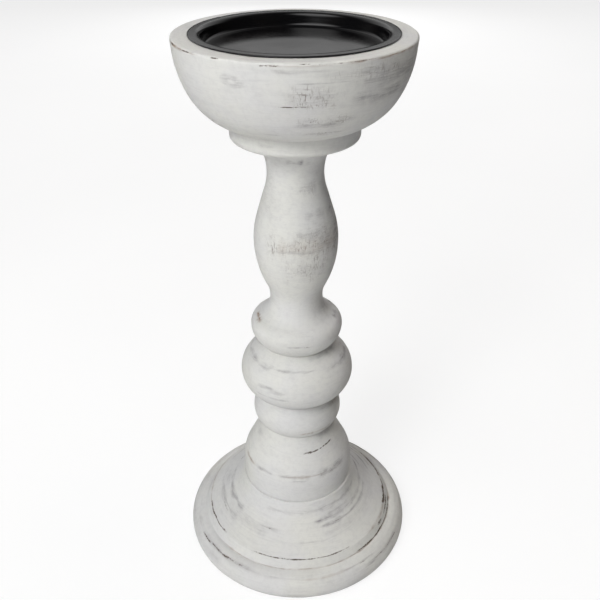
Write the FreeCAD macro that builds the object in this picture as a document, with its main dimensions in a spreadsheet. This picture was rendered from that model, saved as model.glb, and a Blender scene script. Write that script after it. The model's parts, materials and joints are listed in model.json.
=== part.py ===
import FreeCAD, Part
import math
import os
import Sketcher

# A turned wooden candle holder for one pillar candle: base, stem and bowl are three
# turnings joined by round tenons and wood screws, and a pressed steel pan lifts out of
# the bowl. Millimetres, +Z up; the origin is the middle of the footprint on the table.

TAU = 2 * math.pi

SIZES = {
    # felt pads under the base
    "pad_radius": 7.0,
    "pad_thickness": 1.2,
    "pad_circle_radius": 50.0,
    # base, from its underside up to the seat that carries the stem
    "base_foot_radius": 64.7,
    "base_widest_radius": 66.8,
    "base_widest_height": 6.4,
    "base_groove_radius": 57.4,
    "base_groove_height": 16.0,
    "base_edge_radius": 54.5,
    "base_edge_height": 20.6,
    "base_cove_radius": 40.0,
    "base_cove_height": 31.0,
    "base_outer_cove": 100.0,
    "base_inner_cove": 21.8,
    "base_seat_radius": 33.0,
    "base_seat_height": 43.5,
    "base_seat_lip": 0.9,
    # stem, from the foot of its bell up to its collar
    "bell_foot_radius": 31.9,
    "bell_wall_height": 54.3,
    "bell_shoulder_radius": 28.5,
    "bell_shoulder_height": 66.1,
    "bell_swell": 55.0,
    "low_quirk_radius": 18.7,
    "low_quirk_height": 81.3,
    "low_bead_radius": 24.9,
    "low_bead_height": 92.2,
    "mid_quirk_radius": 18.4,
    "mid_quirk_height": 104.4,
    "mid_bead_radius": 31.1,
    "mid_bead_height": 119.3,
    "mid_shoulder_radius": 28.4,
    "mid_shoulder_height": 128.0,
    "mid_shoulder_curve": 37.0,
    "high_quirk_radius": 18.5,
    "high_quirk_height": 137.6,
    "high_bead_radius": 24.7,
    "high_bead_height": 148.7,
    "high_shoulder_radius": 21.12,
    "high_shoulder_height": 154.32,
    "waist_cove": 12.3,
    "waist_radius": 14.11,
    "waist_height": 164.0,
    "waist_hollow": 17.9,
    "vase_foot_radius": 16.0,
    "vase_foot_height": 174.5,
    "vase_radius": 21.6,
    "vase_height": 199.0,
    "vase_shoulder_radius": 19.5,
    "vase_shoulder_height": 213.2,
    "vase_top_radius": 16.0,
    "vase_top_height": 224.9,
    "neck_hollow": 29.0,
    "neck_radius": 17.3,
    "neck_height": 248.7,
    "collar_edge_radius": 30.0,
    "collar_edge_height": 253.0,
    "collar_roll": 2.4,
    "collar_radius": 31.15,
    "collar_wall_height": 255.2,
    "collar_top_height": 261.4,
    # bowl, from its underside up to the rim
    "bowl_foot_radius": 33.0,
    "bowl_belly_radius": 47.6,
    "bowl_belly_height": 273.3,
    "bowl_belly_curve": 30.0,
    "bowl_side_radius": 54.4,
    "bowl_side_height": 295.6,
    "bowl_side_curve": 50.0,
    "rim_radius": 54.8,
    "rim_height": 300.0,
    "rim_round": 0.9,
    "recess_radius": 42.8,
    "recess_floor_height": 291.6,
    "recess_chamfer": 0.7,
    # tenons and their sockets
    "socket_radius": 12.5,
    "socket_depth": 15.0,
    "glue_gap": 0.1,
    "tenon_length": 14.0,
    "tenon_chamfer": 1.0,
    # screw through the bowl into the stem
    "bowl_screw_head_radius": 4.8,
    "bowl_screw_head_height": 3.0,
    "bowl_screw_radius": 2.5,
    "bowl_screw_length": 50.0,
    "bowl_screw_thread": 27.0,
    # screw through the base into the stem
    "base_screw_head_radius": 6.0,
    "base_screw_head_height": 3.6,
    "base_screw_head_edge": 1.0,
    "base_screw_head_dome": 2.7,
    "base_screw_radius": 3.0,
    "base_screw_length": 56.0,
    "base_screw_thread": 31.0,
    # what both screws share; sink is how far a head lies below its face and how
    # far a thread ring's root lies inside the core
    "shank_clearance": 0.3,
    "pilot_radius": 1.8,
    "sink": 0.1,
    "thread_depth": 0.9,
    "thread_half_root": 0.7,
    "thread_pitch": 2.4,
    "thread_runout": 1.0,
    "screw_point": 5.0,
    "cross_width": 1.5,
    "cross_reach": 2.7,
    "cross_depth": 1.9,
    # counterbore that hides the base screw, its washer and the plug that closes it
    "counterbore_radius": 11.0,
    "counterbore_depth": 12.0,
    "plug_length": 6.0,
    "plug_chamfer": 0.6,
    "washer_radius": 9.0,
    "washer_hole_radius": 3.3,
    "washer_thickness": 1.5,
    "washer_edge": 0.2,
    # steel pan
    "sheet": 0.7,
    "pan_rim_radius": 47.1,
    "pan_mouth_radius": 41.3,
    "pan_floor_radius": 40.7,
    "pan_depth": 6.4,
    "pan_top_bend": 1.2,
    "pan_floor_bend": 1.4,
    "pan_lower_edge": 0.2,
    "pan_upper_edge": 0.3,
}

# how far a bore's outline runs on past the faces it cuts, added to a height
OVERSHOOT = " + 1"
UNDERSHOOT = " - 1"
PAD_COUNT = 4
SAME_SIZE = 1e-6
BOWL_SCREW_THREADS = 11
BASE_SCREW_THREADS = 13

doc = FreeCAD.newDocument("candle_holder")


def make_sheet():
    """The spreadsheet of driving dimensions, one named cell each."""
    sheet = doc.addObject("Spreadsheet::Sheet", "Sizes")
    for row, (name, size) in enumerate(SIZES.items(), start=1):
        sheet.set(f"A{row}", name)
        sheet.set(f"B{row}", str(size))
        sheet.setAlias(f"B{row}", name)
    doc.recompute()


def value(total):
    """The number that a sum of sheet names and plain numbers comes to."""
    result = 0.0
    sign = 1
    for word in total.split():
        if word in ("+", "-"):
            sign = 1 if word == "+" else -1
        else:
            result += sign * (SIZES[word] if word in SIZES else float(word))
    return result


def formula(total):
    """The same sum as an expression on the sheet."""
    words = ("Sizes." + word if word in SIZES else word for word in total.split())
    return " ".join(words)


def origin_plane(body, role):
    """One of a body's own origin planes."""
    return next(item for item in body.Origin.OriginFeatures if item.Role == role)


def new_sketch(body, name, role):
    sketch = body.newObject("Sketcher::SketchObject", name)
    sketch.AttachmentSupport = (origin_plane(body, role), [""])
    sketch.MapMode = "FlatFace"
    return sketch


def bind(sketch, constraint, total):
    """Adds a sized constraint and ties its size to the sheet."""
    index = sketch.addConstraint(constraint)
    sketch.setExpression(f"Constraints[{index}]", formula(total))


def arc_centre(first, last, radius):
    """Centre of the arc from first to last whose centre lies left of that direction."""
    middle = (first + last) * 0.5
    chord = last - first
    rise = math.sqrt(max(radius ** 2 - (chord.Length / 2) ** 2, 0.0))
    left = FreeCAD.Vector(-chord.y, chord.x, 0).normalize()
    return middle + left * rise


def level_radius(far, level):
    """Radius of the arc that ends upright at level and starts at far."""
    across = abs(far.x - level.x)
    return (across ** 2 + (far.y - level.y) ** 2) / (2 * across)


def turned_outline(sketch, steps):
    """Draws a closed half section, radius across and height up.

    Each step is (kind, radius, height), and an arc of a given size adds its radius:
      line               straight to the point
      bulge, hollow      an arc that turns left or right on the way to the point
      upright_end        an arc that arrives at the point running straight up
      upright_start      an arc that leaves the last point running straight up
    The outline runs counter-clockwise and closes with a straight line.
    """
    corners = [FreeCAD.Vector(value(step[1]), value(step[2]), 0) for step in steps]
    count = len(steps)
    for index in range(count):
        kind = steps[(index + 1) % count][0]
        first = corners[index]
        last = corners[(index + 1) % count]
        if kind == "line" or index == count - 1:
            sketch.addGeometry(Part.LineSegment(first, last), False)
            continue
        if kind == "upright_end":
            radius = level_radius(first, last)
        elif kind == "upright_start":
            radius = level_radius(last, first)
        else:
            radius = value(steps[index + 1][3])
        hollow = kind == "hollow"
        start, end = (last, first) if hollow else (first, last)
        centre = arc_centre(start, end, radius)
        circle = Part.Circle(centre, FreeCAD.Vector(0, 0, 1), radius)
        begin = math.atan2(start.y - centre.y, start.x - centre.x)
        finish = math.atan2(end.y - centre.y, end.x - centre.x)
        if finish < begin:
            finish += TAU
        sketch.addGeometry(Part.ArcOfCircle(circle, begin, finish), False)

    for index in range(count):
        following = (index + 1) % count
        start_point = 2 if steps[following][0] == "hollow" and following else 1
        after_hollow = steps[(index + 2) % count][0] == "hollow" and (index + 2) % count
        end_point = 3 - start_point
        next_start = 2 if after_hollow else 1
        sketch.addConstraint(
            Sketcher.Constraint("Coincident", index, end_point, following, next_start)
        )
        place_corner(sketch, index, start_point, steps[index])
        if following:
            size_arc(sketch, index, start_point, end_point, steps[following])


def place_corner(sketch, curve, point, step):
    """Ties the corner at one end of a curve to its radius and height."""
    radius, height = step[1], step[2]
    if radius == "0":
        sketch.addConstraint(Sketcher.Constraint("PointOnObject", curve, point, -2))
    else:
        across = Sketcher.Constraint("DistanceX", -1, 1, curve, point, value(radius))
        bind(sketch, across, radius)
    if height == "0":
        sketch.addConstraint(Sketcher.Constraint("PointOnObject", curve, point, -1))
    else:
        upward = Sketcher.Constraint("DistanceY", -1, 1, curve, point, value(height))
        bind(sketch, upward, height)


def size_arc(sketch, curve, start_point, end_point, step):
    """Sizes an arc by its radius, or puts its centre level with one end."""
    kind = step[0]
    if kind in ("bulge", "hollow"):
        bind(sketch, Sketcher.Constraint("Radius", curve, value(step[3])), step[3])
    elif kind == "upright_end":
        sketch.addConstraint(Sketcher.Constraint("Horizontal", curve, 3, curve, end_point))
    elif kind == "upright_start":
        sketch.addConstraint(Sketcher.Constraint("Horizontal", curve, 3, curve, start_point))


def revolve(body, kind, name, steps):
    """Turns a half section about the body's Z axis, as added or removed material."""
    sketch = new_sketch(body, name + "Outline", "XZ_Plane")
    turned_outline(sketch, steps)
    feature = body.newObject(kind, name)
    feature.Profile = sketch
    feature.ReferenceAxis = (sketch, ["V_Axis"])
    feature.Angle = 360.0
    return feature


def turn(body, name, steps):
    return revolve(body, "PartDesign::Revolution", name, steps)


def bore(body, name, steps):
    """Removes a turned hole and checks that it took material away."""
    doc.recompute()
    before = body.Shape.Volume
    feature = revolve(body, "PartDesign::Groove", name, steps)
    doc.recompute()
    if body.Shape.Volume >= before:
        raise RuntimeError(name + " removes nothing")
    return feature


def new_body(label):
    body = doc.addObject("PartDesign::Body", label)
    body.Label = label
    return body


def make_base():
    """Turned plinth: half-round foot, quirk and edge, double cove, flat seat."""
    body = new_body("base")
    under = "pad_thickness"
    turn(body, "BaseTurning", [
        ("line", "0", under),
        ("line", "base_foot_radius", under),
        ("upright_end", "base_widest_radius", "base_widest_height"),
        ("upright_start", "base_groove_radius", "base_groove_height"),
        ("line", "base_edge_radius", "base_edge_height"),
        ("hollow", "base_cove_radius", "base_cove_height", "base_outer_cove"),
        ("hollow", "base_seat_radius", "base_seat_height - base_seat_lip", "base_inner_cove"),
        ("bulge", "base_seat_radius - base_seat_lip", "base_seat_height", "base_seat_lip"),
        ("line", "0", "base_seat_height"),
    ])
    bore_top = "pad_thickness + counterbore_depth"
    socket_floor = "base_seat_height - socket_depth"
    clearance = "base_screw_radius + shank_clearance"
    bore(body, "BaseBores", [
        ("line", "0", under + UNDERSHOOT),
        ("line", "counterbore_radius", under + UNDERSHOOT),
        ("line", "counterbore_radius", bore_top),
        ("line", clearance, bore_top),
        ("line", clearance, socket_floor),
        ("line", "socket_radius", socket_floor),
        ("line", "socket_radius", "base_seat_height" + OVERSHOOT),
        ("line", "0", "base_seat_height" + OVERSHOOT),
    ])


def make_stem():
    """Turned spindle: tenon, bell, three beads, waist, vase, neck, collar, tenon."""
    body = new_body("stem")
    tenon = "socket_radius - glue_gap"
    foot = "base_seat_height"
    top = "collar_top_height"
    turn(body, "StemTurning", [
        ("line", "0", foot + " - tenon_length"),
        ("line", tenon + " - tenon_chamfer", foot + " - tenon_length"),
        ("line", tenon, foot + " - tenon_length + tenon_chamfer"),
        ("line", tenon, foot),
        ("line", "bell_foot_radius", foot),
        ("line", "bell_foot_radius", "bell_wall_height"),
        ("upright_start", "bell_shoulder_radius", "bell_shoulder_height"),
        ("bulge", "low_quirk_radius", "low_quirk_height", "bell_swell"),
        ("upright_end", "low_bead_radius", "low_bead_height"),
        ("upright_start", "mid_quirk_radius", "mid_quirk_height"),
        ("upright_end", "mid_bead_radius", "mid_bead_height"),
        ("upright_start", "mid_shoulder_radius", "mid_shoulder_height"),
        ("bulge", "high_quirk_radius", "high_quirk_height", "mid_shoulder_curve"),
        ("upright_end", "high_bead_radius", "high_bead_height"),
        ("upright_start", "high_shoulder_radius", "high_shoulder_height"),
        ("hollow", "waist_radius", "waist_height", "waist_cove"),
        ("hollow", "vase_foot_radius", "vase_foot_height", "waist_hollow"),
        ("upright_end", "vase_radius", "vase_height"),
        ("upright_start", "vase_shoulder_radius", "vase_shoulder_height"),
        ("line", "vase_top_radius", "vase_top_height"),
        ("hollow", "neck_radius", "neck_height", "neck_hollow"),
        ("line", "collar_edge_radius", "collar_edge_height"),
        ("bulge", "collar_radius", "collar_wall_height", "collar_roll"),
        ("line", "collar_radius", top),
        ("line", tenon, top),
        ("line", tenon, top + " + tenon_length - tenon_chamfer"),
        ("line", tenon + " - tenon_chamfer", top + " + tenon_length"),
        ("line", "0", top + " + tenon_length"),
    ])
    low_end = base_screw_seat() + " + base_screw_length"
    bore(body, "LowerPilotHole", [
        ("line", "0", foot + " - tenon_length" + UNDERSHOOT),
        ("line", "pilot_radius", foot + " - tenon_length" + UNDERSHOOT),
        ("line", "pilot_radius", low_end),
        ("line", "0", low_end + " + pilot_radius"),
    ])
    high_end = "recess_floor_height - bowl_screw_length"
    bore(body, "UpperPilotHole", [
        ("line", "0", high_end + " - pilot_radius"),
        ("line", "pilot_radius", high_end),
        ("line", "pilot_radius", top + " + tenon_length" + OVERSHOOT),
        ("line", "0", top + " + tenon_length" + OVERSHOOT),
    ])


def make_bowl():
    """Turned cup: rounded outside, shallow flat recess for the pan, socket below."""
    body = new_body("bowl")
    low = "collar_top_height"
    turn(body, "BowlTurning", [
        ("line", "0", low),
        ("line", "bowl_foot_radius", low),
        ("bulge", "bowl_belly_radius", "bowl_belly_height", "bowl_belly_curve"),
        ("bulge", "bowl_side_radius", "bowl_side_height", "bowl_side_curve"),
        ("line", "rim_radius", "rim_height - rim_round"),
        ("bulge", "rim_radius - rim_round", "rim_height", "rim_round"),
        ("line", "recess_radius + recess_chamfer", "rim_height"),
        ("line", "recess_radius", "rim_height - recess_chamfer"),
        ("line", "recess_radius", "recess_floor_height"),
        ("line", "0", "recess_floor_height"),
    ])
    clearance = "bowl_screw_radius + shank_clearance"
    floor = "recess_floor_height"
    bore(body, "BowlBores", [
        ("line", "0", low + UNDERSHOOT),
        ("line", "socket_radius", low + UNDERSHOOT),
        ("line", "socket_radius", low + " + socket_depth"),
        ("line", clearance, low + " + socket_depth"),
        ("line", clearance, floor + " - bowl_screw_head_height"),
        ("line", "bowl_screw_head_radius", floor),
        ("line", "bowl_screw_head_radius", floor + OVERSHOOT),
        ("line", "0", floor + OVERSHOOT),
    ])


def cut_cross(body, face_height, inward):
    """Sinks a cross-shaped driver recess into a screw head."""
    doc.recompute()
    before = body.Shape.Volume
    sketch = new_sketch(body, "CrossOutline", "XY_Plane")
    sketch.AttachmentOffset = FreeCAD.Placement(
        FreeCAD.Vector(0, 0, value(face_height)), FreeCAD.Rotation()
    )
    sketch.setExpression("AttachmentOffset.Base.z", formula(face_height))
    arm = SIZES["cross_reach"]
    half = SIZES["cross_width"] / 2
    turns = [(arm, half), (half, half), (half, arm)]
    corners = []
    for angle in (0, 90, 180, 270):
        spin = FreeCAD.Rotation(FreeCAD.Vector(0, 0, 1), angle)
        for across, up in turns:
            corners.append(spin.multVec(FreeCAD.Vector(across, up, 0)))
    for index, corner in enumerate(corners):
        sketch.addGeometry(
            Part.LineSegment(corner, corners[(index + 1) % len(corners)]), False
        )
    for index in range(len(corners)):
        following = (index + 1) % len(corners)
        sketch.addConstraint(Sketcher.Constraint("Coincident", index, 2, following, 1))
        for axis, size in (("DistanceX", corners[index].x), ("DistanceY", corners[index].y)):
            name = "cross_reach" if abs(abs(size) - arm) < SAME_SIZE else "cross_width / 2"
            sign = "-" if size < 0 else ""
            number = sketch.addConstraint(
                Sketcher.Constraint(axis, -1, 1, index, 1, size)
            )
            sketch.setExpression(f"Constraints[{number}]", f"{sign}Sizes.{name}")
    pocket = body.newObject("PartDesign::Pocket", "Cross")
    pocket.Profile = sketch
    pocket.setExpression("Length", "Sizes.cross_depth")
    pocket.Reversed = inward
    doc.recompute()
    if body.Shape.Volume >= before:
        raise RuntimeError("the driver recess removes nothing")


def add_thread(body, core, count, lowest):
    """Adds the raised thread of a wood screw as a row of sharp rings."""
    sketch = new_sketch(body, "ThreadOutline", "XZ_Plane")
    turned_outline(sketch, [
        ("line", core + " - sink", lowest + " - thread_half_root"),
        ("line", core + " + thread_depth", lowest),
        ("line", core + " - sink", lowest + " + thread_half_root"),
    ])
    ring = body.newObject("PartDesign::Revolution", "ThreadRing")
    ring.Profile = sketch
    ring.ReferenceAxis = (sketch, ["V_Axis"])
    ring.Angle = 360.0
    doc.recompute()
    rows = body.newObject("PartDesign::LinearPattern", "Thread")
    rows.Originals = [ring]
    rows.Direction = (sketch, ["V_Axis"])
    rows.Mode = "Spacing"
    rows.Occurrences = count
    rows.setExpression("Offset", "Sizes.thread_pitch")
    body.Tip = rows
    doc.recompute()


def make_bowl_screw():
    """Countersunk wood screw, head up, flush with the recess floor."""
    body = new_body("bowl_screw")
    face = "recess_floor_height"
    under_head = face + " - bowl_screw_head_height"
    tip = face + " - bowl_screw_length"
    core = "pilot_radius"
    thread_top = tip + " + screw_point + bowl_screw_thread"
    turn(body, "ScrewTurning", [
        ("line", "0", tip),
        ("line", core, tip + " + screw_point"),
        ("line", core, thread_top),
        ("line", "bowl_screw_radius", thread_top + " + thread_runout"),
        ("line", "bowl_screw_radius", under_head),
        ("line", "bowl_screw_head_radius - sink - sink", face + " - sink - sink"),
        ("line", "bowl_screw_head_radius - sink - sink", face + " - sink"),
        ("line", "0", face + " - sink"),
    ])
    add_thread(body, core, BOWL_SCREW_THREADS, tip + " + screw_point + thread_runout")
    cut_cross(body, face + " - sink", False)


def base_screw_seat():
    """Height of the washer's lower face, which the base screw's head bears on."""
    return "pad_thickness + counterbore_depth - washer_thickness"


def make_base_screw():
    """Pan-head wood screw, head down in the counterbore."""
    body = new_body("base_screw")
    seat = base_screw_seat()
    face = seat + " - base_screw_head_height"
    tip = seat + " + base_screw_length"
    core = "pilot_radius"
    thread_low = tip + " - screw_point - base_screw_thread"
    crown = "base_screw_head_radius + base_screw_head_edge - base_screw_head_height"
    turn(body, "ScrewTurning", [
        ("line", "0", face),
        ("line", crown, face),
        ("bulge", "base_screw_head_radius", seat + " - base_screw_head_edge", "base_screw_head_dome"),
        ("line", "base_screw_head_radius", seat),
        ("line", "base_screw_radius", seat),
        ("line", "base_screw_radius", thread_low + " - thread_runout"),
        ("line", core, thread_low),
        ("line", core, tip + " - screw_point"),
        ("line", "0", tip),
    ])
    add_thread(body, core, BASE_SCREW_THREADS, thread_low + " + thread_runout")
    cut_cross(body, face, True)


def make_base_washer():
    """Flat washer between the screw head and the counterbore's roof."""
    body = new_body("base_washer")
    low = base_screw_seat()
    high = "pad_thickness + counterbore_depth"
    turn(body, "WasherTurning", [
        ("line", "washer_hole_radius", low),
        ("line", "washer_radius - washer_edge", low),
        ("line", "washer_radius", low + " + washer_edge"),
        ("line", "washer_radius", high),
        ("line", "washer_hole_radius", high),
    ])


def make_base_plug():
    """Turned wooden plug glued into the counterbore, flush with the underside."""
    body = new_body("base_plug")
    side = "counterbore_radius - glue_gap"
    low = "pad_thickness"
    high = low + " + plug_length"
    turn(body, "PlugTurning", [
        ("line", "0", low),
        ("line", side, low),
        ("line", side, high + " - plug_chamfer"),
        ("line", side + " - plug_chamfer", high),
        ("line", "0", high),
    ])


def make_candle_pan():
    """Pressed steel dish: flat floor, short drafted wall, flat flange on the rim."""
    body = new_body("candle_pan")
    flange_low = "rim_height"
    flange_top = "rim_height + sheet"
    floor_top = flange_top + " - pan_depth"
    floor_low = floor_top + " - sheet"
    mouth = "pan_mouth_radius"
    corner = "pan_floor_radius"
    turn(body, "PanTurning", [
        ("line", "0", floor_low),
        ("line", corner + " - pan_floor_bend", floor_low),
        ("bulge", corner + " + sheet", floor_top + " + pan_floor_bend", "pan_floor_bend + sheet"),
        ("line", mouth + " + sheet", flange_low + " - pan_top_bend"),
        ("hollow", mouth + " + sheet + pan_top_bend", flange_low, "pan_top_bend"),
        ("line", "pan_rim_radius - pan_lower_edge", flange_low),
        ("line", "pan_rim_radius", flange_low + " + pan_lower_edge"),
        ("line", "pan_rim_radius", flange_top + " - pan_upper_edge"),
        ("bulge", "pan_rim_radius - pan_upper_edge", flange_top, "pan_upper_edge"),
        ("line", mouth + " + sheet + pan_top_bend", flange_top),
        ("bulge", mouth, flange_low + " - pan_top_bend", "pan_top_bend + sheet"),
        ("line", corner, floor_top + " + pan_floor_bend"),
        ("hollow", corner + " - pan_floor_bend", floor_top, "pan_floor_bend"),
        ("line", "0", floor_top),
    ])


def make_felt_pads():
    """Felt discs stuck near the edge of the underside."""
    for number in range(1, PAD_COUNT + 1):
        pad = doc.addObject("Part::Cylinder", f"felt_pad_{number}")
        pad.Label = f"felt_pad_{number}"
        angle = 360 / PAD_COUNT * (number - 0.5)
        pad.setExpression("Radius", "Sizes.pad_radius")
        pad.setExpression("Height", "Sizes.pad_thickness")
        pad.setExpression("Placement.Base.x", f"Sizes.pad_circle_radius * cos({angle} deg)")
        pad.setExpression("Placement.Base.y", f"Sizes.pad_circle_radius * sin({angle} deg)")


def check_document():
    """Stops on any failed feature, so that nothing is written from a broken document."""
    for item in doc.Objects:
        if "Invalid" in item.State or "Error" in item.State:
            raise RuntimeError(f"{item.Label} failed: {item.State}")
        if item.TypeId == "Sketcher::SketchObject" and item.solve() != 0:
            raise RuntimeError(f"{item.Label} has conflicting constraints")


def sub_parts():
    return [o for o in doc.Objects if o.TypeId in ("PartDesign::Body", "Part::Cylinder")]


def export_parts():
    """Writes each sub-part to a STEP file named after it."""
    os.makedirs("parts", exist_ok=True)
    for item in sub_parts():
        shape = item.Shape
        if shape.isNull() or not shape.isValid() or len(shape.Solids) != 1:
            raise RuntimeError(f"{item.Label} is not one valid solid")
        shape.exportStep(f"parts/{item.Label}.step")
        print(item.Label, round(shape.Volume, 1), shape.BoundBox)


make_sheet()
make_base()
make_stem()
make_bowl()
make_bowl_screw()
make_base_screw()
make_base_washer()
make_base_plug()
make_candle_pan()
make_felt_pads()
doc.recompute()
check_document()
export_parts()
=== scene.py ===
import json
import math

import bmesh
import bpy
import numpy as np
from mathutils import Matrix, Vector


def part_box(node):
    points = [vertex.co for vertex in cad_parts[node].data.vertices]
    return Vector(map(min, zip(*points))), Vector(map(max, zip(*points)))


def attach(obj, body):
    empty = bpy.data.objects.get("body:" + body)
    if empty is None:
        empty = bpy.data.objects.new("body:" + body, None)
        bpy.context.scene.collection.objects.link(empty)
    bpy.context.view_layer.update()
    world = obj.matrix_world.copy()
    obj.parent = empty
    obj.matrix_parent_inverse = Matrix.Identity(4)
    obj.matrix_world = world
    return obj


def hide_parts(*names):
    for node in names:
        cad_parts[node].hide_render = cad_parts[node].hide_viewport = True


# A whitewashed turned candle holder. The turned pieces and the pan are rebuilt as fine
# meshes on their CAD outlines, with softened edges, tool rings, dents and chips.

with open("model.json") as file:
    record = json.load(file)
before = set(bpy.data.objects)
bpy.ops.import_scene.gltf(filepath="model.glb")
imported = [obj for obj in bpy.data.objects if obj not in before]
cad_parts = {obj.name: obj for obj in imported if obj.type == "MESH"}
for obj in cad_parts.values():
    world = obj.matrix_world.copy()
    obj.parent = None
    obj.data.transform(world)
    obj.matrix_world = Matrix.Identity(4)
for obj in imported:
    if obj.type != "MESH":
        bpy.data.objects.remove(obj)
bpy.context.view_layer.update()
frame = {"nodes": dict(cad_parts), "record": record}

# soft boxes round the piece: turn to the right of the camera, height in degrees, watts, tint
WHITE = (1.0, 1.0, 1.0)
WARM = (1.0, 0.88, 0.80)
SOFT_BOXES = [
    (-30, 40, 15.6, WHITE),
    (-30, 12, 6.0, WHITE),
    (-60, 40, 1.5, WHITE),
    (-30, 68, 3.9, WHITE),
    (90, 68, 3.2, WARM),
    (150, 68, 3.8, WHITE),
    (120, 40, 0.7, WARM),
    (180, 12, 5.5, WHITE),
]
BOX_AIM = (0.0, 0.0, 0.15)
BOX_WIDTH = 1.0
BOX_DISTANCE = 1.7
BOX_FADE = (0.1, 0.5)         # shares of its width from its middle where a box dims, and is dark
BOX_PEAK = 2.6                # brightness in its middle, next to an even box of that power

# brightness of the table, and of the room as light, as seen, and as polished faces see it
FLOOR_GLOW = 0.80
ROOM_LIGHT = 0.02
ROOM_SEEN = 0.82
WALL_GLOSS = 0.60
WALL_FOOT = (10.8, 12.4)      # degrees above level between which the reflected wall turns pale
WALL_BACK = 0.6               # that wall starts at the sides, and is full past this Y of a direction
GLINT = 2.2                   # the reflected soft box, in its middle
GLINT_WAY = (-0.383, -0.663, 0.643)
GLINT_EDGE = (33.0, 12.0)     # degrees from that way where the reflected box starts, and is full

# the camera: metres, degrees below level, mm, mm, share of the frame
CAMERA_PLACE = (0.00471, -0.3448, 0.3725)
CAMERA_DOWN = 31.438
CAMERA_LENS = 45.26
CAMERA_SENSOR = 36.0
CAMERA_SHIFT = -0.0087

MM = 0.001
SNAP = 1e-6
TAU = 2 * math.pi

# outlines, in mm and degrees
SAME_POINT = 1e-4
FINE_STEP = 0.1               # between the points of a worked outline
CORNER_BEND = 15.0            # a sharper bend is a true corner, not part of an arc
CHORD_JUMP = 2.5              # a chord this many times its neighbour's length is a straight line
PAINT_FILL = 0.12             # how far paint rounds an inner corner
HIDDEN_STEP = 2.5             # between mesh rows that nobody sees
ROW_SPREAD = 0.28             # how fast the rows' spacing grows away from a corner
ROW_CHANGE = 1.02             # how much the spacing may change from one fine step to the next

# linear colours
CHALK_COOL = (0.665, 0.665, 0.66)
CHALK_WARM = (0.69, 0.69, 0.655)
GREY_MOTTLE = (0.45, 0.445, 0.45)
GREY_BRUSH = (0.44, 0.435, 0.45)
GREY_FINE = (0.46, 0.455, 0.45)
# the grey of thin wash, also used as painted shade in creases
GREY_SMEAR_AND_SHADE = (0.25, 0.24, 0.25)
WOOD_PORE = (0.24, 0.21, 0.185)
WOOD_BARE = (0.26, 0.185, 0.13)
CHIP_DEEP = (0.07, 0.057, 0.05)
CHIP_BROWN = (0.145, 0.11, 0.085)
ENAMEL_DEEP = (0.0035, 0.0035, 0.004)
ENAMEL_HAZE = (0.006, 0.0055, 0.0055)
DUST = (0.25, 0.24, 0.22)
ZINC_BLUE = (0.52, 0.53, 0.55)
ZINC_PALE = (0.66, 0.66, 0.65)
FELT_DARK = (0.075, 0.068, 0.062)
FELT_PALE = (0.19, 0.175, 0.16)
FELT_CLUMP = (0.26, 0.25, 0.24)
TABLE_TONES = ((0.21, 0.21, 0.21), (0.23, 0.23, 0.23))
CARD_TONES = ((0.86, 0.86, 0.86), (0.88, 0.88, 0.88))


# ---------------------------------------------------------------- outlines

def half_section(node):
    """Radius and height in mm round a turned CAD node's half section, in order.

    The solid lies on the left. The list is open if the solid reaches its axis.
    """
    solid = bmesh.new()
    solid.from_mesh(frame["nodes"][node].data)
    bmesh.ops.remove_doubles(solid, verts=solid.verts, dist=SNAP)
    for normal in ((1, 0, 0), (0, 1, 0)):
        cut = bmesh.ops.bisect_plane(
            solid, geom=solid.verts[:] + solid.edges[:] + solid.faces[:],
            dist=SNAP, plane_co=(0, 0, 0), plane_no=normal, clear_inner=normal[0] == 1,
        )
    links = {}
    for edge in cut["geom_cut"]:
        if isinstance(edge, bmesh.types.BMEdge):
            a, b = edge.verts
            if max(a.co.x, b.co.x) > SNAP:
                links.setdefault(a, []).append(b)
                links.setdefault(b, []).append(a)
    ends = [vert for vert, near in links.items() if len(near) == 1]
    here = min(ends or links, key=lambda vert: vert.co.z)
    chain = [here]
    seen = {here}
    while True:
        ahead = [vert for vert in links[here] if vert not in seen]
        if not ahead:
            break
        here = ahead[0]
        seen.add(here)
        chain.append(here)
    points = np.array([(vert.co.x, vert.co.z) for vert in chain]) / MM
    solid.free()
    following = np.roll(points, -1, axis=0)
    area = (points[:, 0] * following[:, 1] - following[:, 0] * points[:, 1]).sum()
    return (points if area > 0 else points[::-1]), not ends


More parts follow.
